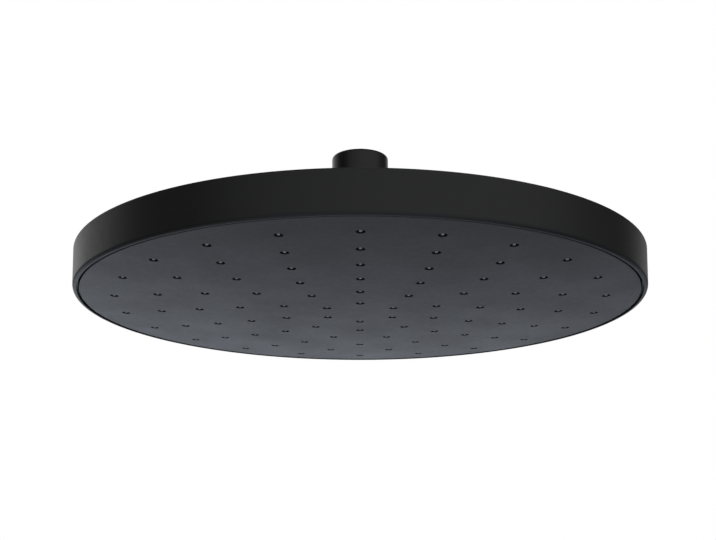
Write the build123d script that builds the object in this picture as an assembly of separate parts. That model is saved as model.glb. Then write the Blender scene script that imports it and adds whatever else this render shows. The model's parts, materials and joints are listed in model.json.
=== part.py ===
from build123d import *
import math
import os

# Rain shower head: a wide, shallow round head that hangs on a swivel ball connector.
# Millimetres. The origin is the centre of the inlet's mouth. +Z points up the supply pipe, and the
# water leaves downwards. Every outline is drawn as (radius, height) and turned about the Z axis.

through = 4  # a drill is this many times as long as what it goes through

# Head
head_diameter = 250.0  # at the rim's lower edge
wall_lean = 0.5  # rim's top edge outside its lower edge
rim_height = 17.3  # side wall, lower edge to top edge
face_drop = 4.9  # lowest point of the domed face below the rim's lower edge
face_recess = 0.4  # the dome, carried out to the rim, meets it this far above its lower edge
crown_rise = 6.0  # how far the domed back stands above the rim's top edge
shell_wall = 2.4
rim_top_round = 0.5
rim_foot_round = 1.6

# Spray face
face_thickness = 2.2
face_gap = 0.3  # between the face plate's skirt and the shell
shadow_width = 0.6  # extra width of the gap that shows round the face
shadow_depth = 1.5
skirt_wall = 1.8
snap_reach = 0.55  # bead on the skirt that clicks into the shell
snap_half_width = 0.7
snap_level = 7.1  # bead above the rim's lower edge
face_edge_round = 0.6

# Nozzles
nozzles_per_ring = (6, 10, 13, 16, 19, 22)
first_ring_radius = 16.7
last_ring_inset = 15.0  # outermost ring in from the face plate's edge
nozzle_hole = 3.7
nozzle_gap = 0.1
nozzle_inset = 0.15  # tip's end inside the face
nozzle_tip = 1.2
nozzle_root = 1.6  # tip's width at the bottom of its well
nozzle_well = 1.7  # depth of the well round each tip
jet_bore = 0.8
mat_thickness = 1.2
mat_margin = 0.4  # mat beyond the outermost nubs
mat_seat_gap = 0.05

# Water chamber
cover_thickness = 2.2
spigot_gap = 0.6  # cover's spigot outside the mat
spigot_wall = 1.9  # behind the seal's groove
spigot_clearance = 0.2
spigot_floor_gap = 0.4
seal_cord = 2.0
seal_side_gap = 0.3
seal_clearance = 0.03
seal_drop = 3.2  # seal's centre below the flange
seal_wall = 1.8
flange_thickness = 2.5
flange_step = 1.5  # flange's top above the cover's dome
flange_gap = 0.5
headroom = 1.0  # above the screw heads, inside the shell
cover_ribs = 12
rib_thickness = 1.8

# Screws that hold the cover to the face plate
screw_count = 12
screw_diameter = 2.6
screw_head_diameter = 4.6
screw_head_height = 1.8
screw_clearance = 0.1
screw_point = 1.2
screw_tip_gap = 0.6
boss_wall = 1.1
boss_bite = 0.6  # how far each boss runs into the seal's wall

# Inlet, for a G1/2 pipe
thread_diameter = 20.955
thread_length = 10.0
collar_diameter = 25.5
collar_round = 1.4
mouth_land = 0.6  # least flat ring left round the inlet's mouth
collar_foot_chamfer = 0.8
collar_floor = 2.95
wrench_flats = 22.0
wrench_height = 9.0
stem_diameter = 14.0
waterway = 9.0

# Filter and flow regulator inside the inlet
washer_diameter = 18.6
washer_bore = 11.2
washer_thickness = 3.0
mesh_thickness = 0.4
mesh_hole = 1.0
mesh_pitch = 1.5
insert_gap = 0.1  # round each loose insert
regulator_diameter = 15.8
regulator_height = 3.5
regulator_floor = 0.9
regulator_post = 6.0
regulator_cord = 2.2
regulator_channel_gap = 0.5
regulator_holes = 8
regulator_hole = 1.6

# Ball joint
ball_diameter = 22.0
ball_lift = 17.75  # ball's centre above the rim's top edge
tilt_limit = 15.0  # degrees each way
ball_gap = 0.1  # between the ball and its seats
seat_gap = 0.05  # flat faces of the seats
stem_gap = 0.35  # round the tilted stem
tilt_gap = 0.6  # under the tilted collar
upper_seat_rise = 2.0  # lower face of the upper seat above the ball's centre
upper_seat_wall = 2.2
lower_seat_drop = 3.3  # top face of the lower seat below the ball's centre
lower_seat_wall = 0.8
lower_seat_base = 3.0
ball_seal_cord = 2.0
ball_seal_gap = 0.05
gasket_thickness = 1.5
cup_gap = 0.3  # round the seats
neck_wall = 4.5
neck_gap = 0.15  # neck's thread inside the nut
tube_wall = 3.0
cup_floor_wall = 2.5
nut_wall = 3.5
nut_lip = 2.6
nut_rim = 2.5  # flat ring round the nut's hole
nut_grip_height = 9.0
nut_flutes = 12
flute_diameter = 3.2
flute_depth = 0.7
hub_margin = 3.0  # hub's land outside the nut
hub_step = 1.8
hub_thickness = 3.0
hub_slope = 4.0
hub_round = 1.0
hub_foot_round = 6.0
hub_gap = 0.3
hub_edge = 1.5  # hub's land outside the shoulder under it
shoulder_thickness = 3.0

# Radii that the pieces share
head_r = head_diameter / 2
top_r = head_r + wall_lean
wall_in_r = head_r - shell_wall
lip_in_r = wall_in_r + shadow_width
face_r = wall_in_r - face_gap
skirt_in_r = face_r - skirt_wall
last_ring_r = face_r - last_ring_inset
ring_pitch = (last_ring_r - first_ring_radius) / (len(nozzles_per_ring) - 1)
nub_r = nozzle_hole / 2 - nozzle_gap
mat_r = last_ring_r + nub_r + mat_margin
spigot_in_r = mat_r + spigot_gap
groove_r = spigot_in_r + spigot_wall
seal_bore_r = groove_r + seal_cord
spigot_r = seal_bore_r - spigot_clearance
seal_wall_r = seal_bore_r + seal_wall
screw_r = screw_diameter / 2
pilot_r = screw_r + screw_clearance
boss_r = pilot_r + boss_wall
screw_circle_r = seal_wall_r + boss_r - boss_bite
flange_r = skirt_in_r - flange_gap
thread_r = thread_diameter / 2
collar_r = collar_diameter / 2
stem_r = stem_diameter / 2
waterway_r = waterway / 2
washer_r = washer_diameter / 2
recess_r = washer_r + insert_gap
regulator_r = regulator_diameter / 2
pocket_r = regulator_r + insert_gap
ball_r = ball_diameter / 2
socket_r = ball_r + ball_gap

# Ball joint, as heights above the ball's centre. The tilted stem and waterway set its openings.
tilt = math.radians(tilt_limit)
stem_angle = tilt + math.asin((stem_r + stem_gap) / socket_r)
outlet_angle = tilt + math.asin((waterway_r + stem_gap) / socket_r)
upper_seat_top = socket_r * math.cos(stem_angle)
upper_seat_r = socket_r + upper_seat_wall
nut_ceiling = upper_seat_top + seat_gap
nut_top = nut_ceiling + nut_lip
neck_top = upper_seat_rise - seat_gap
lower_seat_r = socket_r + lower_seat_wall
outlet_r = socket_r * math.sin(outlet_angle)
outlet_edge = -socket_r * math.cos(outlet_angle)
lower_seat_foot = outlet_edge - lower_seat_base
gasket_top = lower_seat_foot - seat_gap
cup_floor = gasket_top - gasket_thickness
cup_r = lower_seat_r + cup_gap
neck_r = cup_r + neck_wall
nut_bore_r = neck_r + neck_gap
nut_r = nut_bore_r + nut_wall
hub_r = nut_r + hub_margin
hub_bore_r = neck_r + hub_gap
shoulder_r = hub_r - hub_edge
tube_r = outlet_r + tube_wall

# Heights from the inlet's mouth down
thread_end_z = -thread_length
washer_z = thread_end_z - insert_gap - washer_thickness
recess_floor_z = washer_z - mesh_thickness
pocket_floor_z = recess_floor_z - regulator_height - insert_gap
collar_low_z = pocket_floor_z - collar_floor
neck_reach = (nut_top + tilt_gap + collar_r * math.sin(tilt)) / math.cos(tilt)
ball_z = collar_low_z - neck_reach
rim_top_z = ball_z - ball_lift
rim_low_z = rim_top_z - rim_height

# The face and the back are parts of two large spheres.
face_rise = face_drop + face_recess
face_sphere_r = (head_r**2 + face_rise**2) / (2 * face_rise)
face_sphere_z = rim_low_z - face_drop + face_sphere_r
crown_sphere_r = (top_r**2 + crown_rise**2) / (2 * crown_rise)
crown_sphere_z = rim_top_z + crown_rise - crown_sphere_r


def face_z(r, above=0.0):
    """Height of the face's dome at a radius, or of a surface a given distance above it."""
    return face_sphere_z - math.sqrt((face_sphere_r - above) ** 2 - r**2)


def crown_z(r, below=0.0):
    """Height of the crowned back at a radius, or of a surface a given distance below it."""
    return crown_sphere_z + math.sqrt((crown_sphere_r - below) ** 2 - r**2)


# Heights inside the head: the cover hangs from the room that the screw heads need under the back.
hub_top_z = crown_z(hub_r) + hub_step
hub_under_z = hub_top_z - hub_thickness
shoulder_low_z = min(hub_under_z - shoulder_thickness, ball_z + cup_floor - cup_floor_wall)
flange_top_z = crown_z(flange_r, shell_wall) - headroom - screw_head_height
flange_low_z = flange_top_z - flange_thickness
cover_edge_z = flange_top_z - flange_step
cover_above = face_sphere_r - math.hypot(face_sphere_z - cover_edge_z, spigot_in_r)
ceiling_above = cover_above - cover_thickness
mat_above = face_thickness + mat_seat_gap
mat_top_above = mat_above + mat_thickness
seal_z = flange_low_z - seal_drop
spigot_low_z = face_z(seal_bore_r, face_thickness) + spigot_floor_gap


def dome_arc(height, r_from, r_to, offset=0.0):
    """Arc along a dome from one radius to another."""
    stops = [r_from, (r_from + r_to) / 2, r_to]
    return ThreePointArc(*[(r, height(r, offset)) for r in stops])


def ball_arc(radius, angle_from, angle_to):
    """Arc round the ball's centre. Angles are in radians, up from the horizontal."""
    angles = [angle_from, (angle_from + angle_to) / 2, angle_to]
    return ThreePointArc(*[(radius * math.cos(a), ball_z + radius * math.sin(a)) for a in angles])


def turned(outline, rounds=()):
    """Turn a closed outline about the Z axis, with some of its corners rounded first."""
    section = make_face(Curve(outline).edges())
    for corner, radius in rounds:
        section = fillet(section.vertices().sort_by_distance(corner)[0], radius)
    return revolve(Plane.XZ * section, Axis.Z)


def ring(inner_r, outer_r, low_z, high_z):
    """Plain flat ring."""
    corners = [(inner_r, low_z), (outer_r, low_z), (outer_r, high_z), (inner_r, high_z)]
    return turned([Polyline(*corners, close=True)])


def round_about(count, radius, start=0.0):
    """Evenly spaced places on a circle, as (x, y)."""
    angles = [math.radians(start + 360 * i / count) for i in range(count)]
    return [(radius * math.cos(a), radius * math.sin(a)) for a in angles]


def nozzle_places():
    """Each nozzle's place on the face, as (x, y, height of the face). Every ring starts at the front."""
    places = []
    for number, count in enumerate(nozzles_per_ring):
        ring_r = first_ring_radius + number * ring_pitch
        places += [(x, y, face_z(ring_r)) for x, y in round_about(count, ring_r, start=-90)]
    return places


def snap_bead(base_r):
    """Corners of the bead that holds the face plate in the shell, from its lower side up."""
    level = rim_low_z + snap_level
    half = snap_half_width
    return [(base_r, level - half), (base_r + snap_reach, level), (base_r, level + half)]


def make_rear_housing():
    """Shell with a crowned back, a hub that the nut clamps, and a lip round the face."""
    hub_foot = (hub_r + hub_slope, crown_z(hub_r + hub_slope))
    hub_recess_r = shoulder_r + hub_gap
    top_edge = (top_r, rim_top_z)
    foot_edge = (head_r, rim_low_z)
    shadow_z = rim_low_z + shadow_depth
    hub = Polyline(
        (hub_recess_r, crown_z(hub_recess_r, shell_wall)),
        (hub_recess_r, hub_under_z),
        (hub_bore_r, hub_under_z),
        (hub_bore_r, hub_top_z),
        (hub_r, hub_top_z),
        hub_foot,
    )
    back = dome_arc(crown_z, hub_foot[0], top_r)
    wall = Polyline(
        top_edge,
        foot_edge,
        (lip_in_r, rim_low_z),
        (lip_in_r, shadow_z),
        (wall_in_r, shadow_z),
        *snap_bead(wall_in_r),
        (wall_in_r, crown_z(wall_in_r, shell_wall)),
    )
    underside = dome_arc(crown_z, wall_in_r, hub_recess_r, shell_wall)
    rounds = [
        ((hub_r, hub_top_z), hub_round),
        (hub_foot, hub_foot_round),
        (top_edge, rim_top_round),
        (foot_edge, rim_foot_round),
    ]
    return turned([hub, back, wall, underside], rounds)


def make_face_plate():
    """Domed spray face with a snap skirt, a wall for the chamber's seal, and the nozzles' holes."""
    centre = Line((0, face_z(0, face_thickness)), (0, face_z(0)))
    face = dome_arc(face_z, 0, face_r)
    skirt = Polyline(
        (face_r, face_z(face_r)),
        *snap_bead(face_r),
        (face_r, flange_top_z),
        (skirt_in_r, flange_top_z),
        (skirt_in_r, face_z(skirt_in_r, face_thickness)),
    )
    trough = dome_arc(face_z, skirt_in_r, seal_wall_r, face_thickness)
    wall = Polyline(
        (seal_wall_r, face_z(seal_wall_r, face_thickness)),
        (seal_wall_r, flange_low_z),
        (seal_bore_r, flange_low_z),
        (seal_bore_r, face_z(seal_bore_r, face_thickness)),
    )
    inside = dome_arc(face_z, seal_bore_r, 0, face_thickness)
    face_edge = (face_r, face_z(face_r))
    plate = turned([centre, face, skirt, trough, wall, inside], [(face_edge, face_edge_round)])

    boss_low_z = face_z(screw_circle_r, face_thickness / 2)
    boss = Cylinder(boss_r, flange_low_z - boss_low_z, align=(Align.CENTER, Align.CENTER, Align.MIN))
    pilot_low_z = face_z(screw_circle_r, face_thickness)
    pilot = Cylinder(pilot_r, flange_low_z - pilot_low_z, align=(Align.CENTER, Align.CENTER, Align.MIN))
    screw_places = round_about(screw_count, screw_circle_r)
    plate += [Pos(x, y, boss_low_z) * boss for x, y in screw_places]
    plate -= [Pos(x, y, pilot_low_z) * pilot for x, y in screw_places]

    hole = Cylinder(nozzle_hole / 2, through * face_thickness)
    return plate - [Pos(*place) * hole for place in nozzle_places()]


def make_nozzle_mat():
    """Soft sheet on the inside of the face, with a nub in each of its holes and a bored tip on each nub."""
    centre = Line((0, face_z(0, mat_top_above)), (0, face_z(0, mat_above)))
    below = dome_arc(face_z, 0, mat_r, mat_above)
    edge = Line((mat_r, face_z(mat_r, mat_above)), (mat_r, face_z(mat_r, mat_top_above)))
    above = dome_arc(face_z, mat_r, 0, mat_top_above)
    sheet = turned([centre, below, edge, above])

    root_z = mat_above + mat_thickness / 2
    outline = Polyline(
        (0, nozzle_inset),
        (nozzle_tip / 2, nozzle_inset),
        (nozzle_root / 2, nozzle_well),
        (nub_r, nozzle_well),
        (nub_r, root_z),
        (0, root_z),
        close=True,
    )
    nub = turned([outline])
    bore = Cylinder(jet_bore / 2, through * mat_top_above)
    places = nozzle_places()
    return sheet + [Pos(*place) * nub for place in places] - [Pos(*place) * bore for place in places]


def make_chamber_cover():
    """Domed lid of the water chamber, with the threaded neck that holds the ball's cup."""
    cup_floor_z = ball_z + cup_floor
    neck_top_z = ball_z + neck_top
    ceiling = dome_arc(face_z, outlet_r, spigot_in_r, ceiling_above)
    rim = Polyline(
        (spigot_in_r, face_z(spigot_in_r, ceiling_above)),
        (spigot_in_r, spigot_low_z),
        (spigot_r, spigot_low_z),
        (spigot_r, seal_z - seal_cord / 2 - seal_side_gap),
        (groove_r, seal_z - seal_cord / 2 - seal_side_gap),
        (groove_r, seal_z + seal_cord / 2 + seal_side_gap),
        (spigot_r, seal_z + seal_cord / 2 + seal_side_gap),
        (spigot_r, flange_low_z),
        (flange_r, flange_low_z),
        (flange_r, flange_top_z),
        (spigot_in_r, flange_top_z),
        (spigot_in_r, cover_edge_z),
    )
    top = dome_arc(face_z, spigot_in_r, tube_r, cover_above)
    neck = Polyline(
        (tube_r, face_z(tube_r, cover_above)),
        (tube_r, shoulder_low_z),
        (shoulder_r, shoulder_low_z),
        (shoulder_r, hub_under_z),
        (neck_r, hub_under_z),
        (neck_r, neck_top_z),
        (cup_r, neck_top_z),
        (cup_r, cup_floor_z),
        (outlet_r, cup_floor_z),
        (outlet_r, face_z(outlet_r, ceiling_above)),
    )
    cover = turned([ceiling, rim, top, neck])

    # Ribs stand on the lid and run from the flange up to the neck's shoulder.
    root_above = cover_above - cover_thickness / 2
    rib_r = spigot_in_r + spigot_wall / 2
    core_r = tube_r - tube_wall / 2
    root = dome_arc(face_z, core_r, rib_r, root_above)
    rib_top = Polyline(
        (rib_r, face_z(rib_r, root_above)),
        (rib_r, flange_top_z),
        (shoulder_r, shoulder_low_z),
        (core_r, shoulder_low_z),
        (core_r, face_z(core_r, root_above)),
    )
    side = Plane.XZ * make_face(Curve([root, rib_top]).edges())
    rib = extrude(side, rib_thickness / 2, both=True)
    half_step = 180 / cover_ribs
    cover += [Rot(0, 0, half_step * (2 * i + 1)) * rib for i in range(cover_ribs)]

    hole = Cylinder(pilot_r, through * flange_thickness)
    return cover - [Pos(x, y, flange_low_z) * hole for x, y in round_about(screw_count, screw_circle_r)]


def make_chamber_seal():
    """Seal ring in the spigot's groove."""
    middle_r = (groove_r + seal_bore_r) / 2
    return Pos(0, 0, seal_z) * Torus(middle_r, seal_cord / 2 - seal_clearance)


def make_chamber_screws():
    """Pan-head screws through the cover's flange into the face plate's bosses."""
    screw_head_r = screw_head_diameter / 2
    screw_top_r = screw_head_r - screw_head_height / 2
    screw_top_z = flange_top_z + screw_head_height
    tip_z = face_z(screw_circle_r, face_thickness) + screw_tip_gap
    outline = Polyline(
        (0, screw_top_z),
        (screw_top_r, screw_top_z),
        (screw_head_r, flange_top_z + screw_head_height / 2),
        (screw_head_r, flange_top_z),
        (screw_r, flange_top_z),
        (screw_r, tip_z + screw_point),
        (0, tip_z),
        close=True,
    )
    screw = turned([outline])
    places = round_about(screw_count, screw_circle_r)
    return Compound(children=[(Pos(x, y, 0) * screw).solid() for x, y in places])


def make_seat_gasket():
    """Flat ring between the lower seat and the floor of the cup."""
    return ring(outlet_r, lower_seat_r, ball_z + cup_floor, ball_z + gasket_top)


def make_lower_ball_seat():
    """Ring that the ball rests in, with a groove for the ball's seal."""
    top_angle = -math.asin(lower_seat_drop / socket_r)
    bowl = ball_arc(socket_r, top_angle, outlet_angle - math.pi / 2)
    body = Polyline(
        (outlet_r, ball_z + outlet_edge),
        (outlet_r, ball_z + lower_seat_foot),
        (lower_seat_r, ball_z + lower_seat_foot),
        (lower_seat_r, ball_z - lower_seat_drop),
        (socket_r * math.cos(top_angle), ball_z - lower_seat_drop),
    )
    return turned([bowl, body]) - make_ball_seal(ball_seal_gap)


def make_ball_seal(extra=0.0):
    """Seal ring against the ball, halfway up the lower seat, or its groove with extra room."""
    middle_angle = (outlet_angle - math.pi / 2 - math.asin(lower_seat_drop / socket_r)) / 2
    centre_r = ball_r + ball_seal_gap + ball_seal_cord / 2
    seal_height = ball_z + centre_r * math.sin(middle_angle)
    return Pos(0, 0, seal_height) * Torus(centre_r * math.cos(middle_angle), ball_seal_cord / 2 + extra)


def make_upper_ball_seat():
    """Ring that presses on the ball from above, under the nut's lip."""
    low_angle = math.asin(upper_seat_rise / socket_r)
    bowl = ball_arc(socket_r, low_angle, math.pi / 2 - stem_angle)
    body = Polyline(
        (socket_r * math.sin(stem_angle), ball_z + upper_seat_top),
        (upper_seat_r, ball_z + upper_seat_top),
        (upper_seat_r, ball_z + upper_seat_rise),
        (socket_r * math.cos(low_angle), ball_z + upper_seat_rise),
    )
    return turned([bowl, body])


def make_ball_nut():
    """Fluted retaining nut. Its hole flares as the tilted stem needs."""

    def hole_r(height):
        return (stem_r + stem_gap) / math.cos(tilt) + height * math.tan(tilt)

    grip_z = hub_top_z + nut_grip_height
    nut_pocket_r = upper_seat_r + cup_gap
    step_z = ball_z + neck_top + cup_gap
    top_edge = (hole_r(nut_top) + nut_rim, ball_z + nut_top)
    grip_edge = (nut_r, grip_z)
    outline = Polyline(
        (nut_bore_r, hub_top_z),
        (nut_r, hub_top_z),
        grip_edge,
        top_edge,
        (hole_r(nut_top), ball_z + nut_top),
        (hole_r(nut_ceiling), ball_z + nut_ceiling),
        (nut_pocket_r, ball_z + nut_ceiling),
        (nut_pocket_r, step_z),
        (nut_bore_r, step_z),
        close=True,
    )
    nut = turned([outline], [(grip_edge, nut_wall / 2), (top_edge, nut_rim / 2)])
    flute_r = nut_r + flute_diameter / 2 - flute_depth
    flute = Cylinder(flute_diameter / 2, through * nut_grip_height)
    return nut - [Pos(x, y, grip_z) * flute for x, y in round_about(nut_flutes, flute_r)]


def make_ball_connector():
    """Turned inlet: threaded collar, stem and ball, with the waterway through them."""
    stem_foot = math.acos(stem_r / ball_r)
    outlet = -math.acos(waterway_r / ball_r)
    collar_edge = (collar_r, 0)
    collar_foot = (stem_r, collar_low_z)
    collar = Polyline(
        (thread_r, 0),
        collar_edge,
        (collar_r, collar_low_z + collar_foot_chamfer),
        (collar_r - collar_foot_chamfer, collar_low_z),
        collar_foot,
        (stem_r, ball_z + ball_r * math.sin(stem_foot)),
    )
    ball = ball_arc(ball_r, stem_foot, outlet)
    passage = Polyline(
        (waterway_r, ball_z + ball_r * math.sin(outlet)),
        (waterway_r, pocket_floor_z),
        (pocket_r, pocket_floor_z),
        (pocket_r, recess_floor_z),
        (recess_r, recess_floor_z),
        (recess_r, thread_end_z),
        (thread_r, thread_end_z),
        (thread_r, 0),
    )
    mouth_round = min(collar_round, collar_r - thread_r - mouth_land)
    connector = turned([collar, ball, passage], [(collar_edge, mouth_round)])
    flat = Box(collar_diameter, collar_diameter, wrench_height, align=(Align.MIN, Align.CENTER, Align.MIN))
    sides = [Rot(0, 0, turn) * Pos(wrench_flats / 2, 0, collar_low_z) * flat for turn in (0, 180)]
    return connector - sides


def make_flow_regulator():
    """Metering disc: a channel for the elastic ring, with holes through its floor."""
    low_z = pocket_floor_z
    top_z = low_z + regulator_height
    floor_z = low_z + regulator_floor
    post_r = regulator_post / 2
    channel_r = post_r + regulator_cord + 2 * regulator_channel_gap
    outline = Polyline(
        (0, low_z),
        (regulator_r, low_z),
        (regulator_r, top_z),
        (channel_r, top_z),
        (channel_r, floor_z),
        (post_r, floor_z),
        (post_r, top_z),
        (0, top_z),
        close=True,
    )
    hole = Cylinder(regulator_hole / 2, through * regulator_floor)
    places = round_about(regulator_holes, (post_r + channel_r) / 2)
    return turned([outline]) - [Pos(x, y, low_z) * hole for x, y in places]


def make_regulator_ring():
    """Elastic ring that lies in the regulator's channel."""
    cord_r = regulator_cord / 2
    middle_r = regulator_post / 2 + regulator_channel_gap + cord_r
    return Pos(0, 0, pocket_floor_z + regulator_floor + cord_r) * Torus(middle_r, cord_r)


def make_filter_mesh():
    """Sieve disc under the washer, open over the washer's bore."""
    disc = Cylinder(washer_r, mesh_thickness, align=(Align.CENTER, Align.CENTER, Align.MIN))
    across = int(washer_bore / mesh_pitch)
    steps = [mesh_pitch * (i - (across - 1) / 2) for i in range(across)]
    reach = washer_bore / 2 - mesh_hole
    places = [(x, y) for x in steps for y in steps if math.hypot(x, y) < reach]
    hole = Box(mesh_hole, mesh_hole, through * mesh_thickness)
    return Pos(0, 0, recess_floor_z) * (disc - [Pos(x, y, 0) * hole for x, y in places])


def make_filter_washer():
    """Washer that the pipe's end presses on."""
    return ring(washer_bore / 2, washer_r, washer_z, washer_z + washer_thickness)


pieces = {
    "rear_housing": make_rear_housing(),
    "face_plate": make_face_plate(),
    "nozzle_mat": make_nozzle_mat(),
    "chamber_cover": make_chamber_cover(),
    "chamber_seal": make_chamber_seal(),
    "chamber_screws": make_chamber_screws(),
    "seat_gasket": make_seat_gasket(),
    "lower_ball_seat": make_lower_ball_seat(),
    "ball_seal": make_ball_seal(),
    "upper_ball_seat": make_upper_ball_seat(),
    "ball_nut": make_ball_nut(),
    "ball_connector": make_ball_connector(),
    "flow_regulator": make_flow_regulator(),
    "regulator_ring": make_regulator_ring(),
    "filter_mesh": make_filter_mesh(),
    "filter_washer": make_filter_washer(),
}

os.makedirs("parts", exist_ok=True)
for name, shape in pieces.items():
    export_step(shape, f"parts/{name}.step")
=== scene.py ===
# %% [markdown]
# # A rain shower head
# The real thing is a wide, shallow disc in satin black. It hangs on a swivel ball below a threaded
# collar, and water falls from rings of soft nozzles in its domed face. The solids come from a CAD model
# and stay as they are. This lesson dresses them: a camera, a studio, the finishes, a shell with an even
# mesh, and three fine shapes that solids leave plain, which are the nozzles' rounded edges, the pipe
# thread and the woven filter.

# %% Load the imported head
import json
import math

import bmesh
import bpy
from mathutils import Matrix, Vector


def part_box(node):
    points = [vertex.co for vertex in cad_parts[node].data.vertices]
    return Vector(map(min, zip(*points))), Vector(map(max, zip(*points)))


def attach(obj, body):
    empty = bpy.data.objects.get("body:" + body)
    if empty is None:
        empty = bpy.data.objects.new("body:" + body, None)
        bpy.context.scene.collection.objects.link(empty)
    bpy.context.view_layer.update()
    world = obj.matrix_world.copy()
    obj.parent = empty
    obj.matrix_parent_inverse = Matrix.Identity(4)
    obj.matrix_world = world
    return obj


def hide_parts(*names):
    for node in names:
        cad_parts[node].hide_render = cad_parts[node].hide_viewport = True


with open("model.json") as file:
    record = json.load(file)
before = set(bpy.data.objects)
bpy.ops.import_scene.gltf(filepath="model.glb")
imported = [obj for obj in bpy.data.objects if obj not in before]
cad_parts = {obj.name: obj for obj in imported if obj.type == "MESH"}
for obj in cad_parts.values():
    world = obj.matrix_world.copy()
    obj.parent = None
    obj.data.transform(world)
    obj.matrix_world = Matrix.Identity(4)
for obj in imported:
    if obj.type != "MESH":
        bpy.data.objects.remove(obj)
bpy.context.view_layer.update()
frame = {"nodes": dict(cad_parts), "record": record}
scene = bpy.context.scene
MM = 0.001
print("pieces from the CAD model:", ", ".join(sorted(frame["nodes"])))

# %% [markdown]
# ## Small helpers
# Every finish and every repeated shape below is a tree of nodes. A tree could be built in Blender's
# editor, but a script that builds it can be run again and read like a recipe. `put` adds one node, sets
# its options and feeds its sockets, with a plain value or with another node's output. The others are sums
# that come up often.


# %% Add a node to a tree
def put(tree, kind, feeds=None, **options):
    made = tree.nodes.new(kind)
    for option, value in options.items():
        setattr(made, option, value)
    for place, value in (feeds or {}).items():
        if isinstance(value, bpy.types.NodeSocket):
            tree.links.new(value, made.inputs[place])
        else:
            made.inputs[place].default_value = value
    return made


# %% Do sums inside a tree
def sum_of(tree, operation, *values):
    return put(tree, "ShaderNodeMath", dict(enumerate(values)), operation=operation).outputs[0]


def ramp_up(tree, value, low, high, bottom=0.0, top=1.0, smooth=True):
    """A slope from bottom to top as a value goes from low to high, with soft ends unless smooth is off."""
    feeds = {"Value": value, "From Min": low, "From Max": high, "To Min": bottom, "To Max": top}
    form = "SMOOTHSTEP" if smooth else "LINEAR"
    return put(tree, "ShaderNodeMapRange", feeds, interpolation_type=form).outputs["Result"]


def blend_of(tree, share, first, second):
    """A mix of two colours. The node takes them at its sockets 6 and 7, and gives the mix at output 2."""
    return put(tree, "ShaderNodeMix", {0: share, 6: first, 7: second}, data_type="RGBA").outputs[2]


def grey(level):
    return (level, level, level, 1.0)


# %% [markdown]
# ## The camera
# The photograph looks up at the head from below and in front. The nozzle rings are true circles, so their
# ellipses give the viewing angle and the distance: the camera stands 0.57 m in front, a little under the
# head, and looks up by about 16 degrees. It could be aimed by eye, but a fitted camera lets each nozzle
# be compared with its own mark.

# %% Place the camera
SENSOR_WIDTH, FOCAL_LENGTH = 36.0, 66.286
CAMERA_PLACE = Vector((-0.94, -566.26, -213.75))
LEVEL, LOOK_UP = 90, 15.815
lens = bpy.data.cameras.new("photo_lens")
lens.sensor_width = SENSOR_WIDTH
lens.lens = FOCAL_LENGTH
camera = bpy.data.objects.new("photo_camera", lens)
camera.location = CAMERA_PLACE * MM
camera.rotation_euler = (math.radians(LEVEL + LOOK_UP), 0, 0)
scene.collection.objects.link(camera)
scene.camera = camera
print(f"camera {-camera.location.y:.3f} m in front of the inlet, {FOCAL_LENGTH} mm lens")

# %% [markdown]
# ## The studio
# Satin black has almost no colour of its own: what shows is the room in its surface. The photograph's
# side wall is pale at its left end, dark at about a third, soft grey in the middle, dark again near the
# right end, so the room has a pale wall behind on the left, a soft fill in front and a dark panel on each
# side. Its top edges and the lip's far ends are dark, so the ceiling is dark too, and so is a gap between
# wall and floor behind. Near both ends a thin dark line runs along the wall's foot, so the floor is dark
# to the sides. Real panels could be built, but they would stand in the way of other views, so the room is
# a ring of grey levels painted on the world, for reflections alone. The camera sees plain white, and matt
# surfaces get one even level.

# %% Paint the walls that reflections see
RING = {  # degrees round from the camera, left negative: grey level
    -180: 0.85, -150: 1.02, -120: 0.54, -98: 0.04, -70: 0.01, -30: 0.40,
    15: 0.55, 65: 0.55, 98: 0.12, 125: 0.03, 152: 0.60, 180: 0.85,
}  # fmt: skip

world = bpy.data.worlds.new("studio")
scene.world = world
world.use_nodes = True
room = world.node_tree
room.nodes.clear()
direction = put(room, "ShaderNodeTexCoord").outputs["Generated"]
right, back, up = put(room, "ShaderNodeSeparateXYZ", {0: direction}).outputs
aside = sum_of(room, "ABSOLUTE", right)
bearing = sum_of(room, "ARCTAN2", right, sum_of(room, "MULTIPLY", back, -1.0))
turn_share = ramp_up(room, bearing, -math.pi, math.pi, smooth=False)
ring = put(room, "ShaderNodeValToRGB", {0: turn_share})
ring.color_ramp.interpolation = "EASE"
stops = ring.color_ramp.elements
stops.remove(stops[1])
stops[0].position = 0.0
stops[0].color = grey(RING[-180])
for degrees, level in list(RING.items())[1:]:
    stops.new((degrees + 180) / 360).color = grey(level)
walls = ring.outputs["Color"]
print("walls painted with", len(stops), "grey levels round the horizon")

# %% [markdown]
# The floor could be one grey, but the photograph's face grows paler from front to back. So the floor
# grows brighter towards the wall behind, which the face mirrors. It is dark to the sides, and in front it
# takes most of the level of the wall above it. Each slope below says between which two values of a
# direction's right, back or up share it runs, and the level at both.

# %% Paint the floor
FLOOR_TINT = (0.90, 0.96, 1.08)
NEAR_TO_FAR = (-0.47, 0.1, 0.22, 1.35)
LEFT_HALF, RIGHT_HALF = (-0.04, -0.34, 1.0, 1.4), (0.02, 0.3, 0.96, 0.75)
BENEATH, BEHIND = (-0.6, -0.95, 0.0, 1.5), (-0.35, 0.65, 0.14, 1.0)
TO_THE_SIDES, IN_FRONT = (0.45, 0.7, 1.0, 0.2), (0.2, -0.2, 0.0, 0.8)

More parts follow.
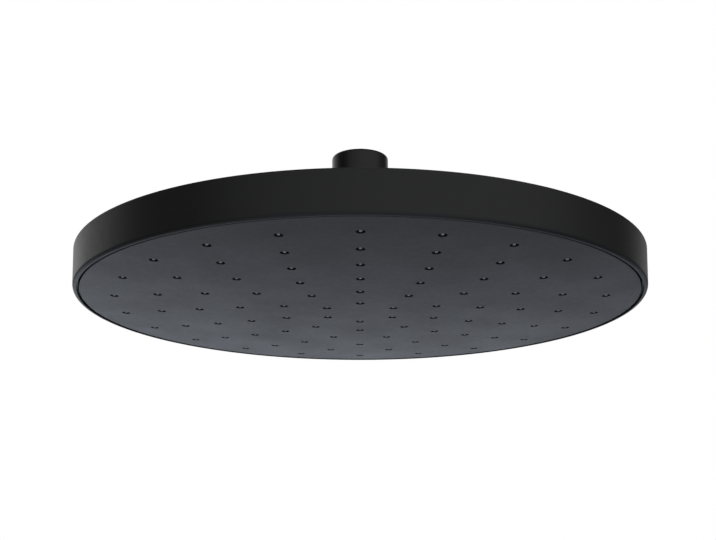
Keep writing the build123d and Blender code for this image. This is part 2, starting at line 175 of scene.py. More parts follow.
halves = sum_of(room, "MULTIPLY", ramp_up(room, right, *LEFT_HALF), ramp_up(room, right, *RIGHT_HALF))
where = sum_of(room, "MAXIMUM", ramp_up(room, up, *BENEATH), ramp_up(room, back, *BEHIND))
floor_level = ramp_up(room, up, *NEAR_TO_FAR, smooth=False)
for share in (halves, where, ramp_up(room, aside, *TO_THE_SIDES)):
    floor_level = sum_of(room, "MULTIPLY", floor_level, share)
front_level = sum_of(room, "MULTIPLY", walls, ramp_up(room, back, *IN_FRONT))
floor_level = sum_of(room, "MAXIMUM", floor_level, front_level)
tinted = put(room, "ShaderNodeVectorMath", {0: FLOOR_TINT, "Scale": floor_level}, operation="SCALE")
print("floor painted, before its other slopes from", NEAR_TO_FAR[2], "to", NEAR_TO_FAR[3])

# %% Join walls, gap and ceiling, and say who sees what
CEILING, EVEN_LEVEL = 0.12, 0.5
FLOOR_TO_WALL, WALL_TO_CEILING = (-0.04, 0.16), (0.5, 0.85)
GAP_UP, FROM_GAP = 0.05, (0.13, 0.03, 0.0, 0.9)
GAP_BEHIND, GAP_ASIDE = (0.5, 0.8), (0.1, 0.25)

sides = blend_of(room, ramp_up(room, up, *FLOOR_TO_WALL), tinted.outputs[0], walls)
off_gap = sum_of(room, "ABSOLUTE", sum_of(room, "SUBTRACT", up, GAP_UP))
gap_share = ramp_up(room, off_gap, *FROM_GAP)
for share in (ramp_up(room, back, *GAP_BEHIND), ramp_up(room, aside, *GAP_ASIDE)):
    gap_share = sum_of(room, "MULTIPLY", gap_share, share)
sides = blend_of(room, gap_share, sides, grey(0.0))
painted = blend_of(room, ramp_up(room, up, *WALL_TO_CEILING), sides, grey(CEILING))
ray = put(room, "ShaderNodeLightPath").outputs
lit = blend_of(room, ray["Is Glossy Ray"], grey(EVEN_LEVEL), painted)
seen = sum_of(room, "MAXIMUM", ray["Is Camera Ray"], ray["Is Transmission Ray"])
sky = put(room, "ShaderNodeBackground", {"Color": blend_of(room, seen, lit, grey(1.0))})
put(room, "ShaderNodeOutputWorld", {"Surface": sky.outputs[0]})
world.cycles.sampling_method = "NONE"
scene.view_settings.view_transform = "Standard"
print("world: white to the camera, an even", EVEN_LEVEL, "to matt surfaces")

# %% [markdown]
# ## The lamps and the floor
# A black head needs soft lamps, because a small one would show as a hard spot. One wide panel hangs above
# and one stands low in front. They light matt colour only, as the painted room already gives the
# reflections. The floor lies well below, as under a real shower, so that the camera can also look up from
# steep angles.


# %% Hang the lamps
def soft_lamp(name, place, size, watts):
    panel = bpy.data.lights.new(name, "AREA")
    panel.size = size
    panel.energy = watts
    lamp = bpy.data.objects.new(name, panel)
    lamp.location = place
    aim = -lamp.location
    lamp.rotation_euler = aim.to_track_quat("-Z", "Y").to_euler()
    lamp.visible_glossy = False
    scene.collection.objects.link(lamp)


soft_lamp("overhead_panel", place=(-0.5, -0.5, 1.3), size=1.4, watts=11)
soft_lamp("front_panel", place=(0.5, -1.6, -0.5), size=1.2, watts=9)
print("two soft panels hung")

# %% Lay the floor
FLOOR_DROP, FLOOR_REACH, FLOOR_GREY, FLOOR_GLOW = 1.9, 60.0, 0.8, 0.8
corners = [(x * FLOOR_REACH, y * FLOOR_REACH, -FLOOR_DROP) for x, y in ((-1, -1), (1, -1), (1, 1), (-1, 1))]
floor_mesh = bpy.data.meshes.new("pale_floor")
floor_mesh.from_pydata(corners, [], [(0, 1, 2, 3)])
floor = bpy.data.objects.new("pale_floor", floor_mesh)
scene.collection.objects.link(floor)
floor.visible_glossy = False
paint = bpy.data.materials.new("pale_floor")
paint.use_nodes = True
coat = paint.node_tree
coat.nodes.clear()
matt = put(coat, "ShaderNodeBsdfDiffuse", {"Color": grey(FLOOR_GREY)})
glow = put(coat, "ShaderNodeEmission", {"Color": grey(1.0)})
to_camera = put(coat, "ShaderNodeLightPath").outputs["Is Camera Ray"]
glow_share = sum_of(coat, "MULTIPLY", to_camera, FLOOR_GLOW)
both = put(coat, "ShaderNodeMixShader", {0: glow_share, 1: matt.outputs[0], 2: glow.outputs[0]})
put(coat, "ShaderNodeOutputMaterial", {"Surface": both.outputs[0]})
floor_mesh.materials.append(paint)
print(f"floor {FLOOR_DROP} m below the inlet")

# %% [markdown]
# ## Shared effects
# Moulded plastic, soft silicone and rubber all have a fine grain, a slow unevenness of gloss and a faint
# change of tone. Each material could carry its own noise, but one group with named inputs keeps them
# alike and easy to tune. It works on Object coordinates, in metres, so the grain has a real size: a scale
# of 4000 gives specks of a quarter millimetre.

# %% Start a group, mix its noises and hand out its results
NUMBER, COLOUR, PLACE = "NodeSocketFloat", "NodeSocketColor", "NodeSocketVector"
MAIN_SHARE = 0.6
TONE_RANGE, GLOSS_RANGE = (0.32, 0.68), (0.35, 0.65)


def effect_group(name, scale_label, scale, gloss):
    """A group that turns a place on the surface into a tone, a roughness and a height."""
    group = bpy.data.node_groups.new(name, "ShaderNodeTree")
    inputs = {
        "Place": (PLACE, (0, 0, 0)),
        scale_label: (NUMBER, scale),
        "Dark tone": (COLOUR, grey(0.01)),
        "Light tone": (COLOUR, grey(0.02)),
        "Gloss low": (NUMBER, gloss[0]),
        "Gloss high": (NUMBER, gloss[1]),
    }
    for label, (kind, value) in inputs.items():
        group.interface.new_socket(label, in_out="INPUT", socket_type=kind).default_value = value
    for label, kind in (("Tone", COLOUR), ("Roughness", NUMBER), ("Height", NUMBER)):
        group.interface.new_socket(label, in_out="OUTPUT", socket_type=kind)
    return group, group.nodes.new("NodeGroupInput").outputs, group.nodes.new("NodeGroupOutput").inputs


def noise(group, place, scale, detail):
    return put(group, "ShaderNodeTexNoise", {"Vector": place, "Scale": scale, "Detail": detail}).outputs[0]


def two_noises(group, main, other):
    first = sum_of(group, "MULTIPLY", main, MAIN_SHARE)
    return sum_of(group, "ADD", first, sum_of(group, "MULTIPLY", other, 1 - MAIN_SHARE))


def hand_out(group, given, wanted, tone_share, gloss_share, gloss_range, height):
    tone = blend_of(group, tone_share, given["Dark tone"], given["Light tone"])
    gloss_ends = given["Gloss low"], given["Gloss high"]
    gloss = ramp_up(group, gloss_share, *gloss_range, *gloss_ends, smooth=False)
    for label, result in (("Tone", tone), ("Roughness", gloss), ("Height", height)):
        group.links.new(result, wanted[label])
    print(f"group {group.name}: {len(group.nodes)} nodes")


# %% Build the grain group
DRIFT_SCALE, RIPPLE_SCALE, RIPPLE_HEIGHT = 38.0, 420.0, 0.5
grain, given, wanted = effect_group("moulded_grain", "Speck scale", 4000.0, (0.4, 0.5))
specks = noise(grain, given["Place"], given["Speck scale"], detail=2.0)
drift = noise(grain, given["Place"], DRIFT_SCALE, detail=3.0)
ripple = noise(grain, given["Place"], RIPPLE_SCALE, detail=1.0)
tone_share = ramp_up(grain, two_noises(grain, specks, drift), *TONE_RANGE)
height = sum_of(grain, "ADD", specks, sum_of(grain, "MULTIPLY", ripple, RIPPLE_HEIGHT))
hand_out(grain, given, wanted, tone_share, two_noises(grain, drift, ripple), GLOSS_RANGE, height)

# %% [markdown]
# The collar, the screws and the wire are turned or drawn metal. A lathe leaves rings that run round the
# axis, so this group stretches a noise: it changes fast along the axis and hardly at all round it.

# %% Build the turning-marks group
CLOUD_SCALE = 140.0
turning, given, wanted = effect_group("turning_marks", "Rings per metre", 5000.0, (0.3, 0.4))
spot = put(turning, "ShaderNodeSeparateXYZ", {0: given["Place"]}).outputs
squares = [sum_of(turning, "MULTIPLY", spot[axis], spot[axis]) for axis in ("X", "Y")]
radius = sum_of(turning, "SQRT", sum_of(turning, "ADD", *squares))
along = put(turning, "ShaderNodeCombineXYZ", {"X": sum_of(turning, "ADD", spot["Z"], radius)}).outputs[0]
rings = noise(turning, along, given["Rings per metre"], detail=2.0)
cloud = noise(turning, given["Place"], CLOUD_SCALE, detail=2.0)
worn_share = ramp_up(turning, two_noises(turning, rings, cloud), *TONE_RANGE)
hand_out(turning, given, wanted, worn_share, worn_share, (0.0, 1.0), rings)

# %% [markdown]
# ## The finishes
# The shell, face, nut and collar are all satin black, each with its own slight turn of tone or gloss.
# Each finish puts a group's tone, gloss and height on a Principled shader. The height goes through a Bump
# node, whose distance is the grain's real depth, a few hundredths of a millimetre at most. Values that
# are the same all over stay on the shader's own sockets.

# %% Make a finish from a group
BUMP_STRENGTH = 0.6


def finish(name, group, scale, dark, light, gloss, depth, **same_all_over):
    material = bpy.data.materials.new(name)
    material.use_nodes = True
    tree = material.node_tree
    tree.nodes.clear()
    place = put(tree, "ShaderNodeTexCoord").outputs["Object"]
    # a group's second input is its scale, which has another name in each group
    feeds = {"Place": place, 1: scale, "Dark tone": (*dark, 1), "Light tone": (*light, 1)}
    feeds.update({"Gloss low": gloss[0], "Gloss high": gloss[1]})
    effect = put(tree, "ShaderNodeGroup", feeds, node_tree=group).outputs
    feeds = {"Height": effect["Height"], "Strength": BUMP_STRENGTH, "Distance": depth * MM}
    bump = put(tree, "ShaderNodeBump", feeds)
    feeds = {"Base Color": effect["Tone"], "Roughness": effect["Roughness"], "Normal": bump.outputs[0]}
    shader = put(tree, "ShaderNodeBsdfPrincipled", {**feeds, **same_all_over})
    put(tree, "ShaderNodeOutputMaterial", {"Surface": shader.outputs[0]})
    material.diffuse_color = (*light, 1)
    return material


# %% Mix the finishes
SATIN_BLACK = (0.0050, 0.0050, 0.0050), (0.0066, 0.0066, 0.0066)
COOL_BLACK = (0.0052, 0.0056, 0.0066), (0.0068, 0.0074, 0.0088)
NUT_BLACK = (0.006, 0.006, 0.006), (0.009, 0.009, 0.009)
# the silicone's pale grey is a painted highlight: it stands in for a glint on the nub tips
GLINT_GREY_SILICONE = (0.23, 0.235, 0.24), (0.28, 0.285, 0.29)
SEAL_BLACK = (0.016, 0.016, 0.016), (0.03, 0.03, 0.029)
WASHER_BLACK = (0.03, 0.03, 0.03), (0.055, 0.054, 0.052)
CHAMBER_GREY = (0.46, 0.46, 0.455), (0.56, 0.56, 0.55)
SEAT_WHITE = (0.78, 0.78, 0.76), (0.85, 0.85, 0.83)
PALE_PLASTIC = (0.72, 0.72, 0.70), (0.8, 0.8, 0.78)
SCREW_STEEL = (0.48, 0.48, 0.49), (0.62, 0.62, 0.62)
WIRE_STEEL = (0.50, 0.50, 0.50), (0.66, 0.65, 0.64)
METAL = {"Metallic": 1.0}
finishes = {  # name, group, its scale, two tones, roughness from and to, depth of the grain in millimetres
    "housing_black": finish("satin_black_shell", grain, 3600, *SATIN_BLACK, (0.40, 0.46), 0.02),
    "face_black": finish("satin_black_face", grain, 3600, *COOL_BLACK, (0.40, 0.46), 0.02),
    "nut_black": finish("moulded_black_nut", grain, 2600, *NUT_BLACK, (0.44, 0.52), 0.03),
    "connector_black": finish("black_coated_brass", turning, 2600, *SATIN_BLACK, (0.30, 0.36), 0.006),
    "nozzle_silicone": finish("grey_silicone_painted_glint", grain, 6000, *GLINT_GREY_SILICONE, (0.40, 0.50), 0.006),
    "seal_rubber": finish("seal_rubber", grain, 5000, *SEAL_BLACK, (0.6, 0.75), 0.02),
    "washer_rubber": finish("washer_rubber", grain, 4000, *WASHER_BLACK, (0.65, 0.8), 0.03),
    "chamber_plastic": finish("grey_moulded_plastic", grain, 2400, *CHAMBER_GREY, (0.42, 0.52), 0.03),
    "seat_plastic": finish("white_bearing_plastic", grain, 3000, *SEAT_WHITE, (0.32, 0.4), 0.01),
    "regulator_plastic": finish("pale_moulded_plastic", grain, 3000, *PALE_PLASTIC, (0.38, 0.48), 0.02),
    "screw_steel": finish("bright_screw_steel", turning, 6000, *SCREW_STEEL, (0.22, 0.34), 0.004, **METAL),
    "mesh_steel": finish("drawn_wire_steel", turning, 9000, *WIRE_STEEL, (0.24, 0.36), 0.004, **METAL),
}
print(len(finishes), "finishes mixed")

# %% Give each CAD piece its finish
rows = frame["record"]["subparts"]
for row in rows:
    for slot in frame["nodes"][row["node"]].material_slots:
        slot.material = finishes[row["material_slot"]]
print("dressed:", ", ".join(f"{row['node']} in {row['material_slot']}" for row in rows))

# %% [markdown]
# ## The shell
# The back, the side wall and the lip round the face are one moulding. The solid's own mesh could be
# shown, but its triangles are uneven on the small rounding at the wall's foot, and satin black shows that
# as a saw edge. So the same outline is drawn again from the same sizes and turned in even steps. Each
# corner gets its arc, and a point just past each end of an arc keeps the long flat stretches flat in the
# light.

# %% Turn an outline round the Z axis
SAME_PLACE = 0.001 * MM


def turned_mesh(name, outline, steps):
    """A smooth closed mesh from a closed outline of (radius, height), in millimetres."""
    shape = bmesh.new()
    angles = [2 * math.pi * i / steps for i in range(steps)]
    loops = []
    for r, z in outline:
        places = [(r * MM * math.cos(a), r * MM * math.sin(a), z * MM) for a in angles]
        loops.append([shape.verts.new(place) for place in places])
    for one, other in zip(loops, loops[1:] + loops[:1]):
        for i in range(steps):
            shape.faces.new((one[i - 1], one[i], other[i], other[i - 1]))
    bmesh.ops.remove_doubles(shape, verts=shape.verts, dist=SAME_PLACE)
    bmesh.ops.recalc_face_normals(shape, faces=shape.faces)
    mesh = bpy.data.meshes.new(name)
    shape.to_mesh(mesh)
    shape.free()
    mesh.shade_smooth()
    return bpy.data.objects.new(name, mesh)


# %% Round a corner of an outline
ARC_STEPS, PAST_ARC = 10, 0.12


def rounded(before, corner, after, radius):
    """Points of an arc in place of a corner, and one point just past each of its ends."""
    before, corner, after = Vector(before), Vector(corner), Vector(after)
    one_way, other_way = (before - corner).normalized(), (after - corner).normalized()
    half_angle = one_way.angle(other_way) / 2
    reach = radius / math.tan(half_angle)
    centre = corner + (one_way + other_way).normalized() * radius / math.sin(half_angle)
    first, last = ((corner + way * reach - centre).normalized() for way in (one_way, other_way))
    arc = [centre + first.slerp(last, step / ARC_STEPS) * radius for step in range(ARC_STEPS + 1)]
    return [corner + one_way * (reach + PAST_ARC), *arc, corner + other_way * (reach + PAST_ARC)]


# %% Follow the crowned back
RIM_R, TOP_R, RIM_HEIGHT, CROWN_RISE, SHELL_WALL = 125.0, 125.5, 17.3, 6.0, 2.4
CROWN_SPHERE_R = (TOP_R**2 + CROWN_RISE**2) / (2 * CROWN_RISE)
rim_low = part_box("rear_housing")[0].z / MM
rim_top = rim_low + RIM_HEIGHT


def crown_height(r, below=0.0):
    """Height of the back at a radius, or of its inside, a given distance below it."""
    centre = rim_top + CROWN_RISE - CROWN_SPHERE_R
    return centre + math.sqrt((CROWN_SPHERE_R - below) ** 2 - r * r)


def crown_points(r_from, r_to, steps, below=0.0):
    radii = [r_from + (r_to - r_from) * i / steps for i in range(steps + 1)]
    return [(r, crown_height(r, below)) for r in radii]


print(f"rim from {rim_low:.2f} to {rim_top:.2f} mm, back up to {crown_height(0.0):.2f} mm")

# %% Draw the shell's outline
WALL_IN_R, LIP_R, LEDGE, SNAP_LEVEL, SNAP_HALF, SNAP_REACH = 122.6, 123.2, 1.5, 7.1, 0.7, 0.55
HUB_R, HUB_BORE_R, HUB_RECESS_R, HUB_STEP, HUB_THICKNESS, HUB_SLOPE = 23.35, 17.0, 22.15, 1.8, 3.0, 4.0
HUB_ROUND, HUB_FOOT_ROUND, TOP_ROUND, FOOT_ROUND = 1.0, 6.0, 0.5, 1.6
OUTSIDE_STEPS, INSIDE_STEPS = 24, 16

hub_top = crown_height(HUB_R) + HUB_STEP
hub_under = hub_top - HUB_THICKNESS
hub = [(HUB_RECESS_R, hub_under), (HUB_BORE_R, hub_under), (HUB_BORE_R, hub_top)]
hub_edge, foot_edge = (HUB_R, hub_top), (RIM_R, rim_low)
hub_foot, *crown, top_edge = crown_points(HUB_R + HUB_SLOPE, TOP_R, OUTSIDE_STEPS)
ledge, snap = rim_low + LEDGE, rim_low + SNAP_LEVEL
lip = [(LIP_R, rim_low), (LIP_R, ledge), (WALL_IN_R, ledge)]
groove = [(WALL_IN_R, snap - SNAP_HALF), (WALL_IN_R + SNAP_REACH, snap), (WALL_IN_R, snap + SNAP_HALF)]
shell_outline = [
    *hub,
    *rounded(hub[-1], hub_edge, hub_foot, HUB_ROUND),
    *rounded(hub_edge, hub_foot, crown[0], HUB_FOOT_ROUND),
    *crown,
    *rounded(crown[-1], top_edge, foot_edge, TOP_ROUND),
    *rounded(top_edge, foot_edge, lip[0], FOOT_ROUND),
    *lip,
    *groove,
    *crown_points(WALL_IN_R, HUB_RECESS_R, INSIDE_STEPS, SHELL_WALL),
]
print("shell outline:", len(shell_outline), "points")

# %% Turn the shell
SHELL_STEPS, SHELL_CREASE = 240, math.radians(30)
shell = turned_mesh("satin_shell", shell_outline, SHELL_STEPS)
shell.data.set_sharp_from_angle(angle=SHELL_CREASE)
shell.data.materials.append(finishes["housing_black"])
scene.collection.objects.link(shell)
shell_across = 2 * max(corner.co.x for corner in shell.data.vertices) / MM
print(f"shell {shell_across:.2f} mm across, {len(shell.data.polygons)} faces")
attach(shell, "head")
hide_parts("rear_housing")

# %% [markdown]
# ## Trees that grow shapes
# Nozzles, thread turns and woven wires repeat by a rule, so Geometry Nodes make them. Each tree has named
# inputs for its sizes. `grown` runs a tree on an empty mesh, keeps the result as a plain mesh and takes
# the modifier away, because the exported model can't hold one.

# %% Start a tree, and run it
LENGTH, WHOLE, SHAPE = "NodeSocketFloat", "NodeSocketInt", "NodeSocketGeometry"
THING, FINISH = "NodeSocketObject", "NodeSocketMaterial"
PIECE_CREASE = math.radians(50)


def new_tree(name, inputs):
    tree = bpy.data.node_groups.new(name, "GeometryNodeTree")
    tree.interface.new_socket("Shape", in_out="OUTPUT", socket_type=SHAPE)
    for label, kind in inputs.items():
        tree.interface.new_socket(label, in_out="INPUT", socket_type=kind)
    end = tree.nodes.new("NodeGroupOutput").inputs["Shape"]
    return tree, tree.nodes.new("NodeGroupInput").outputs, end


def close_tree(tree, shape, material, end):
    """End a tree in real geometry with its finish."""
    real = put(tree, "GeometryNodeRealizeInstances", {"Geometry": shape})
    dressed = put(tree, "GeometryNodeSetMaterial", {"Geometry": real.outputs[0], "Material": material})
    tree.links.new(dressed.outputs[0], end)
    print(f"tree {tree.name}: {len(tree.nodes)} nodes")


def grown(name, tree, values):
    piece = bpy.data.objects.new(name, bpy.data.meshes.new(name))
    scene.collection.objects.link(piece)
    recipe = piece.modifiers.new("recipe", "NODES")
    recipe.node_group = tree
    for socket in tree.interface.items_tree:
        if socket.in_out == "INPUT":
            recipe[socket.identifier] = values[socket.name]
    mesh = bpy.data.meshes.new_from_object(piece.evaluated_get(bpy.context.evaluated_depsgraph_get()))
    piece.modifiers.remove(recipe)
    piece.data = mesh
    mesh.set_sharp_from_angle(angle=PIECE_CREASE)
    print(f"{name}: {sum(len(face.vertices) - 2 for face in mesh.polygons)} triangles")
    return piece


# %% [markdown]
# ## The nozzles
# Water leaves through a sheet of soft silicone behind the face. In each hole the sheet has a nub with a
# slim, tapered tube. It stands in a ring-shaped well and ends just inside the face, where a thumb can rub
# lime off it. In the photograph each is a pale dot over a dark curve: the dot is the tip and the curve is
# the shade in the well behind it. The silicone's pale grey is a painted highlight: it stands in for a glint
# on the tips. The solid has sharp corners. A turned outline rounds them, and a tree sets a copy at each
# place on the rings, on the face's sphere.

# %% Turn one nub
NUB_R, ROOT_R, TIP_R, BORE_R = 1.75, 0.8, 0.6, 0.4
INSET, WELL, ROOT = 0.15, 1.7, 3.0
TIP_ROUND, WELL_EDGE, WELL_CORNER = 0.1, 0.1, 0.15
TIP_STEPS, NUB_STEPS = 6, 20
tip_curve = []
for step in range(TIP_STEPS + 1):
    angle = math.pi * step / TIP_STEPS
    tip_r = TIP_R - TIP_ROUND + TIP_ROUND * math.cos(angle)
    tip_curve.append((tip_r, INSET + TIP_ROUND - TIP_ROUND * math.sin(angle)))
well_outer = [(NUB_R, WELL + WELL_EDGE), (NUB_R - WELL_EDGE, WELL)]
well_inner = [(ROOT_R + WELL_CORNER, WELL), (ROOT_R, WELL - WELL_CORNER)]
nub_outline = [(NUB_R, ROOT), *well_outer, *well_inner, *tip_curve, (BORE_R, ROOT)]
nub = turned_mesh("one_nub", nub_outline, NUB_STEPS)
print("one nub:", len(nub.data.polygons), "faces")

# %% Build the tree for one ring of nubs
ring_inputs = {"Nub": THING, "Count": WHOLE, "Radius": LENGTH}
ring_inputs.update({"Sphere radius": LENGTH, "Sphere height": LENGTH})
ring_tree, given, end = new_tree("nozzle_ring", ring_inputs)
sphere_r, ring_r = given["Sphere radius"], given["Radius"]
squares = [sum_of(ring_tree, "MULTIPLY", length, length) for length in (sphere_r, ring_r)]
drop = sum_of(ring_tree, "SQRT", sum_of(ring_tree, "SUBTRACT", *squares))
level = sum_of(ring_tree, "SUBTRACT", given["Sphere height"], drop)
lift = put(ring_tree, "ShaderNodeCombineXYZ", {"Z": level})
circle = put(ring_tree, "GeometryNodeMeshCircle", {"Vertices": given["Count"], "Radius": ring_r})
to_front = (0, 0, math.radians(-90))
feeds = {"Geometry": circle.outputs[0], "Translation": lift.outputs[0], "Rotation": to_front}
placed = put(ring_tree, "GeometryNodeTransform", feeds)
one_nub = put(ring_tree, "GeometryNodeObjectInfo", {0: given["Nub"]}).outputs["Geometry"]
copies = put(ring_tree, "GeometryNodeInstanceOnPoints", {"Points": placed.outputs[0], "Instance": one_nub})
ring_tree.links.new(copies.outputs[0], end)
print(f"tree {ring_tree.name}: {len(ring_tree.nodes)} nodes")

# %% Join six rings and the sheet they grow from
RING_COUNTS = (6, 10, 13, 16, 19, 22)
field_inputs = {
    "Nub": THING, "Sheet": THING, "First ring": LENGTH, "Last ring": LENGTH,
    "Sphere radius": LENGTH, "Sphere height": LENGTH, "Silicone": FINISH,
}  # fmt: skip
field, given, end = new_tree("nozzle_field", field_inputs)
joined = put(field, "GeometryNodeJoinGeometry")
for number, count in enumerate(RING_COUNTS):
    ring_share = number / (len(RING_COUNTS) - 1)
    ring_ends = given["First ring"], given["Last ring"]
    feeds = {label: given[label] for label in ("Nub", "Sphere radius", "Sphere height")}
    feeds["Count"] = count
    feeds["Radius"] = ramp_up(field, ring_share, 0.0, 1.0, *ring_ends, smooth=False)
    one_ring = put(field, "GeometryNodeGroup", feeds, node_tree=ring_tree)
    field.links.new(one_ring.outputs[0], joined.inputs[0])
one_sheet = put(field, "GeometryNodeObjectInfo", {0: given["Sheet"]}).outputs["Geometry"]
field.links.new(one_sheet, joined.inputs[0])
close_tree(field, joined.outputs[0], given["Silicone"], end)

# %% Turn the sheet
FACE_RISE, SHEET_LOW, SHEET_HIGH = 5.3, 2.25, 3.45
SHEET_ROWS, SHEET_STEPS = 12, 72
FACE_SPHERE_R = (RIM_R**2 + FACE_RISE**2) / (2 * FACE_RISE)
face_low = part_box("face_plate")[0].z / MM
mat_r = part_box("nozzle_mat")[1].x / MM
sphere_z = face_low + FACE_SPHERE_R


def sheet_side(depth, radii):
    """Points on a sphere that lies a given depth inside the face's."""
    return [(r, sphere_z - math.sqrt((FACE_SPHERE_R - depth) ** 2 - r * r)) for r in radii]


outwards = [mat_r * i / SHEET_ROWS for i in range(SHEET_ROWS + 1)]
sheet_outline = sheet_side(SHEET_LOW, outwards) + sheet_side(SHEET_HIGH, outwards[::-1])
sheet = turned_mesh("mat_sheet", sheet_outline, SHEET_STEPS)
print("sheet:", len(sheet.data.polygons), "faces")

# %% Grow the nozzle mat
FIRST_RING_R, LAST_RING_R = 16.7, 107.3
values = {
    "Nub": nub, "Sheet": sheet, "First ring": FIRST_RING_R * MM, "Last ring": LAST_RING_R * MM,
    "Sphere radius": FACE_SPHERE_R * MM, "Sphere height": sphere_z * MM,
    "Silicone": finishes["nozzle_silicone"],
}  # fmt: skip
nozzles = grown("soft_nozzles", field, values)
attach(nozzles, "head")
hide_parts("nozzle_mat")

# %% [markdown]
# ## The pipe thread
# The collar takes a half-inch pipe, 14 turns to the inch. In the solid its wall stands at the thread's
# full width. A boolean cut would be heavy and break easily, so one ridge of trapezoid section is swept
# along a spiral on that wall, and shrinks to almost nothing at both ends as a cut thread runs out.

# %% Run a spiral up the wall
POINTS_PER_TURN, RUN_OUT, THIN_END = 64, 0.09, 0.02
thread_inputs = {
    "Turns": LENGTH, "Wall radius": LENGTH, "Length": LENGTH, "Foot": LENGTH, "Ridge height": LENGTH,
    "Ridge foot": LENGTH, "Ridge crest": LENGTH, "Sunk": LENGTH, "Coating": FINISH,
}  # fmt: skip
thread, given, end = new_tree("pipe_thread", thread_inputs)
wall_r = given["Wall radius"]
feeds = {"Resolution": POINTS_PER_TURN, "Rotations": given["Turns"], "Height": given["Length"]}
feeds.update({"Start Radius": wall_r, "End Radius": wall_r, "Reverse": True})
spiral = put(thread, "GeometryNodeCurveSpiral", feeds)
upright = put(thread, "GeometryNodeSetCurveNormal", {"Curve": spiral.outputs[0]}, mode="Z_UP")
run = put(thread, "GeometryNodeSplineParameter").outputs["Factor"]
from_end = sum_of(thread, "MINIMUM", run, sum_of(thread, "SUBTRACT", 1.0, run))
swell = ramp_up(thread, from_end, 0.0, RUN_OUT, THIN_END, 1.0)
print("spiral laid,", POINTS_PER_TURN, "points a turn")

# %% Sweep the ridge along it
feeds = {"Height": given["Ridge height"], "Offset": 0.0}
feeds.update({"Bottom Width": given["Ridge foot"], "Top Width": given["Ridge crest"]})
trapezoid = put(thread, "GeometryNodeCurvePrimitiveQuadrilateral", feeds, mode="TRAPEZOID")
half_height = sum_of(thread, "MULTIPLY", given["Ridge height"], 0.5)
shift = put(thread, "ShaderNodeCombineXYZ", {"X": sum_of(thread, "SUBTRACT", given["Sunk"], half_height)})
crest_inwards = (0, 0, math.radians(90))
feeds = {"Geometry": trapezoid.outputs[0], "Translation": shift.outputs[0], "Rotation": crest_inwards}
section = put(thread, "GeometryNodeTransform", feeds)
feeds = {"Curve": upright.outputs[0], "Profile Curve": section.outputs[0]}
swept = put(thread, "GeometryNodeCurveToMesh", {**feeds, "Scale": swell, "Fill Caps": True})
lift = put(thread, "ShaderNodeCombineXYZ", {"Z": given["Foot"]})
moved = put(thread, "GeometryNodeTransform", {"Geometry": swept.outputs[0], "Translation": lift.outputs[0]})
close_tree(thread, moved.outputs[0], given["Coating"], end)

# %% Grow the thread
PITCH, THREAD_R, CREST_R = 25.4 / 14, 10.4775, 9.3155
THREAD_FOOT, THREAD_MOUTH, SUNK = -9.6, -0.5, 0.1
RIDGE_FOOT, RIDGE_CREST = 1.6, 0.3
thread_length = THREAD_MOUTH - THREAD_FOOT
values = {
    "Turns": thread_length / PITCH, "Wall radius": THREAD_R * MM, "Length": thread_length * MM,
    "Foot": THREAD_FOOT * MM, "Ridge height": (THREAD_R - CREST_R + SUNK) * MM, "Ridge foot": RIDGE_FOOT * MM,
    "Ridge crest": RIDGE_CREST * MM, "Sunk": SUNK * MM, "Coating": finishes["connector_black"],
}  # fmt: skip
inlet_thread = grown("inlet_thread_ridge", thread, values)
ridge_radii = [math.hypot(corner.co.x, corner.co.y) / MM for corner in inlet_thread.data.vertices]
print(f"thread ridge from radius {min(ridge_radii):.2f} to {max(ridge_radii):.2f} mm")
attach(inlet_thread, "connector")

# %% [markdown]
# ## The woven filter
# Under the inlet's washer lies a disc of woven wire that keeps grit out. The solid has square holes. Real
# weave goes over and under, so one crossing of two bent wires is made once, and a tree sets it on a grid,
# turned a quarter at every other place, so that over and under change places.

# %% Bend the two wires of one crossing
WIRE_PITCH, WIRE_R, WIRE_SIDES, BEND_STEPS = 0.8, 0.1, 6, 6
BEND = 0.97 * WIRE_R
crossing = bmesh.new()
for turned_wire, side in ((False, 1), (True, -1)):
    hoops = []
    for step in range(BEND_STEPS + 1):
        way = WIRE_PITCH * (step / BEND_STEPS - 0.5)
        rise = side * BEND * math.cos(math.pi * way / WIRE_PITCH)
        hoop = []
        for spoke in range(WIRE_SIDES):
            angle = 2 * math.pi * spoke / WIRE_SIDES
            x, y, z = way, WIRE_R * math.cos(angle), rise + WIRE_R * math.sin(angle)
            if turned_wire:
                x, y = -y, x
            hoop.append(crossing.verts.new((x * MM, y * MM, z * MM)))
        hoops.append(hoop)
    for one, other in zip(hoops, hoops[1:]):
        for i in range(WIRE_SIDES):
            crossing.faces.new((one[i - 1], one[i], other[i], other[i - 1]))
bmesh.ops.recalc_face_normals(crossing, faces=crossing.faces)
crossing_mesh = bpy.data.meshes.new("one_crossing")
crossing.to_mesh(crossing_mesh)
crossing.free()
crossing_mesh.shade_smooth()
one_crossing = bpy.data.objects.new("one_crossing", crossing_mesh)
print("one crossing:", len(crossing_mesh.polygons), "faces")

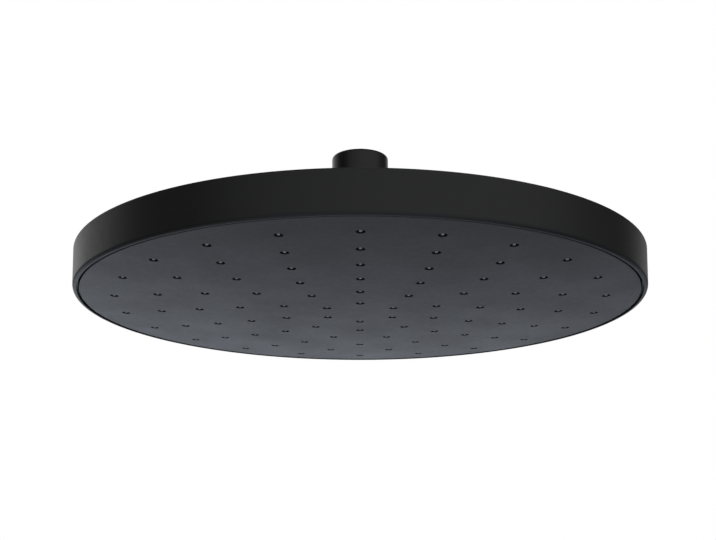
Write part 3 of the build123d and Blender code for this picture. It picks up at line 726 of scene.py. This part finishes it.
# %% Build the weave
weave_inputs = {
    "Crossing": THING, "Pitch": LENGTH, "Across": WHOLE,
    "Disc radius": LENGTH, "Height": LENGTH, "Wire": FINISH,
}  # fmt: skip
weave, given, end = new_tree("woven_disc", weave_inputs)
across = given["Across"]
span = sum_of(weave, "MULTIPLY", given["Pitch"], sum_of(weave, "SUBTRACT", across, 1.0))
feeds = {"Size X": span, "Size Y": span, "Vertices X": across, "Vertices Y": across}
grid = put(weave, "GeometryNodeMeshGrid", feeds)
index = put(weave, "GeometryNodeInputIndex").outputs[0]
column = sum_of(weave, "FLOOR", sum_of(weave, "DIVIDE", index, across))
column_and_row = sum_of(weave, "ADD", column, sum_of(weave, "FLOORED_MODULO", index, across))
odd = sum_of(weave, "FLOORED_MODULO", column_and_row, 2.0)
quarter = put(weave, "ShaderNodeCombineXYZ", {"Z": sum_of(weave, "MULTIPLY", odd, math.pi / 2)})
spot = put(weave, "GeometryNodeInputPosition").outputs[0]
away = put(weave, "ShaderNodeVectorMath", {0: spot}, operation="LENGTH").outputs["Value"]
feeds = {0: away, 1: given["Disc radius"]}
in_disc = put(weave, "FunctionNodeCompare", feeds, operation="LESS_THAN").outputs[0]
wires = put(weave, "GeometryNodeObjectInfo", {0: given["Crossing"]}).outputs["Geometry"]
feeds = {"Points": grid.outputs["Mesh"], "Selection": in_disc, "Rotation": quarter.outputs[0]}
cells = put(weave, "GeometryNodeInstanceOnPoints", {**feeds, "Instance": wires})
lift = put(weave, "ShaderNodeCombineXYZ", {"Z": given["Height"]})
moved = put(weave, "GeometryNodeTransform", {"Geometry": cells.outputs[0], "Translation": lift.outputs[0]})
close_tree(weave, moved.outputs[0], given["Wire"], end)

# %% Grow the filter
CROSSINGS_ACROSS = 23
filter_low, filter_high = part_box("filter_mesh")
values = {
    "Crossing": one_crossing, "Pitch": WIRE_PITCH * MM, "Across": CROSSINGS_ACROSS,
    "Disc radius": filter_high.x - WIRE_PITCH / 2 * MM, "Height": (filter_low.z + filter_high.z) / 2,
    "Wire": finishes["mesh_steel"],
}  # fmt: skip
filter_weave = grown("filter_weave", weave, values)
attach(filter_weave, "connector")
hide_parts("filter_mesh")
